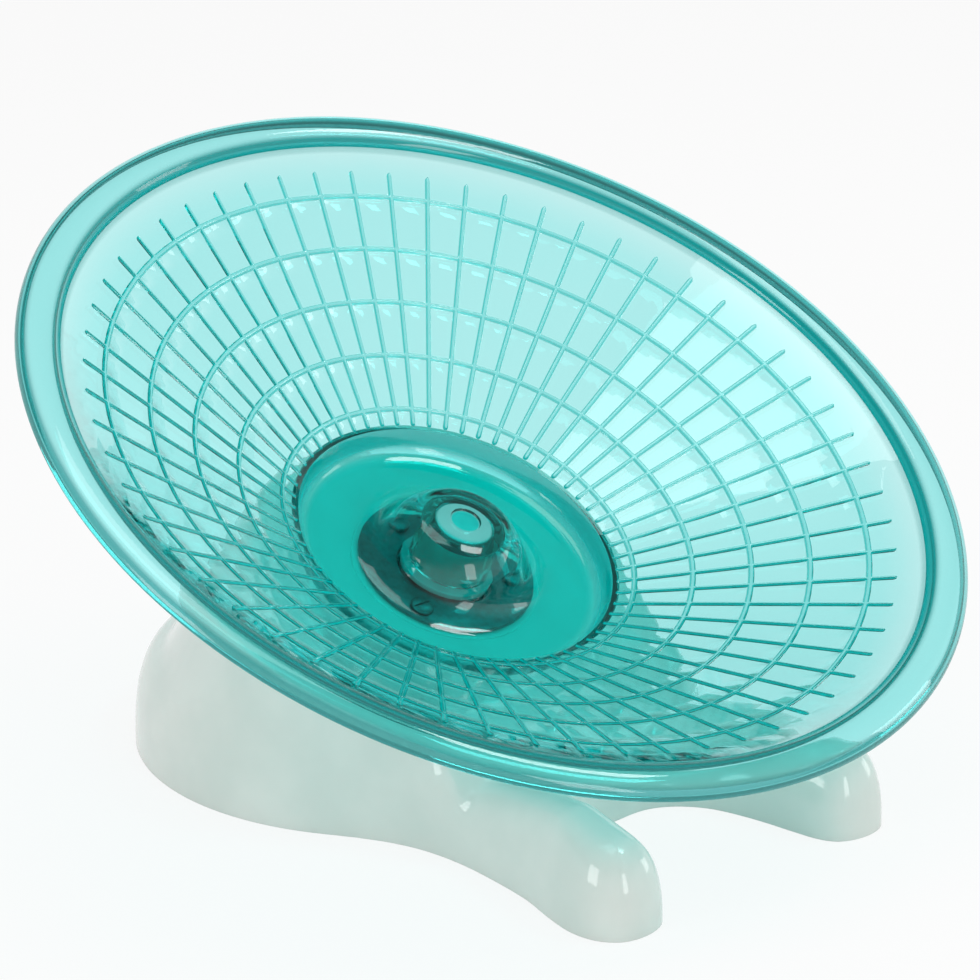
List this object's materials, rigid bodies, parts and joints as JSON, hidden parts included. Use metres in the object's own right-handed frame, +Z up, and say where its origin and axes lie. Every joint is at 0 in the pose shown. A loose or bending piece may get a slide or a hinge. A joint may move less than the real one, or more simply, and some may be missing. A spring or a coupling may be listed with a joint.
{
  "type": "running saucer",
  "caption": "Tilted clear ribbed dish that spins on a ball bearing over a low two-legged moulded base, for a small pet to run on.",
  "frame": {"origin": "middle of the footprint, on the floor under the base", "axes": "+Z up, -Y to the front where the two legs and the low side of the dish are, +X to the right of a viewer who faces the front"},
  "size_m": [0.19, 0.1699, 0.1154],
  "materials": {
    "teal_plastic": "clear, polished",
    "pale_plastic": "milky, glossy",
    "boss_plastic": "satin",
    "cage_plastic": "matt",
    "bearing_steel": "ground",
    "plated_steel": "black zinc plated"
  },
  "bodies": {
    "base": {"base_shell": "pale_plastic", "bearing_outer_ring": "bearing_steel", "bearing_shield_upper": "plated_steel", "bearing_shield_lower": "plated_steel", "retainer_plate": "plated_steel", "retainer_screw_1": "plated_steel", "retainer_screw_2": "plated_steel", "retainer_screw_3": "plated_steel"},
    "spindle": {"spindle_boss": "boss_plastic", "axle_pin": "plated_steel", "spacer_washer": "plated_steel", "bearing_inner_ring": "bearing_steel", "lower_washer": "plated_steel", "retaining_clip": "plated_steel"},
    "saucer": {"saucer_dish": "teal_plastic"},
    "ball_cage": {"bearing_cage": "cage_plastic", "bearing_ball_1": "bearing_steel", "bearing_ball_2": "bearing_steel", "bearing_ball_3": "bearing_steel", "bearing_ball_4": "bearing_steel", "bearing_ball_5": "bearing_steel", "bearing_ball_6": "bearing_steel", "bearing_ball_7": "bearing_steel"}
  },
  "joints": [
    {"name": "saucer_spin", "type": "hinge", "parent": "base", "child": "spindle", "pos_m": [0, 0.01896, 0.03461], "axis": [0, -0.4509, 0.8926], "continuous": true},
    {"name": "saucer_lift", "type": "slide", "parent": "spindle", "child": "saucer", "axis": [0, -0.4509, 0.8926], "range_m": [0, 0.03]},
    {"name": "ball_cage_spin", "type": "hinge", "parent": "base", "child": "ball_cage", "pos_m": [0, 0.01896, 0.03461], "axis": [0, -0.4509, 0.8926], "continuous": true}
  ],
  "couplings": [
    {"joint": "ball_cage_spin", "follows": "saucer_spin", "ratio": 0.3733}
  ]
}
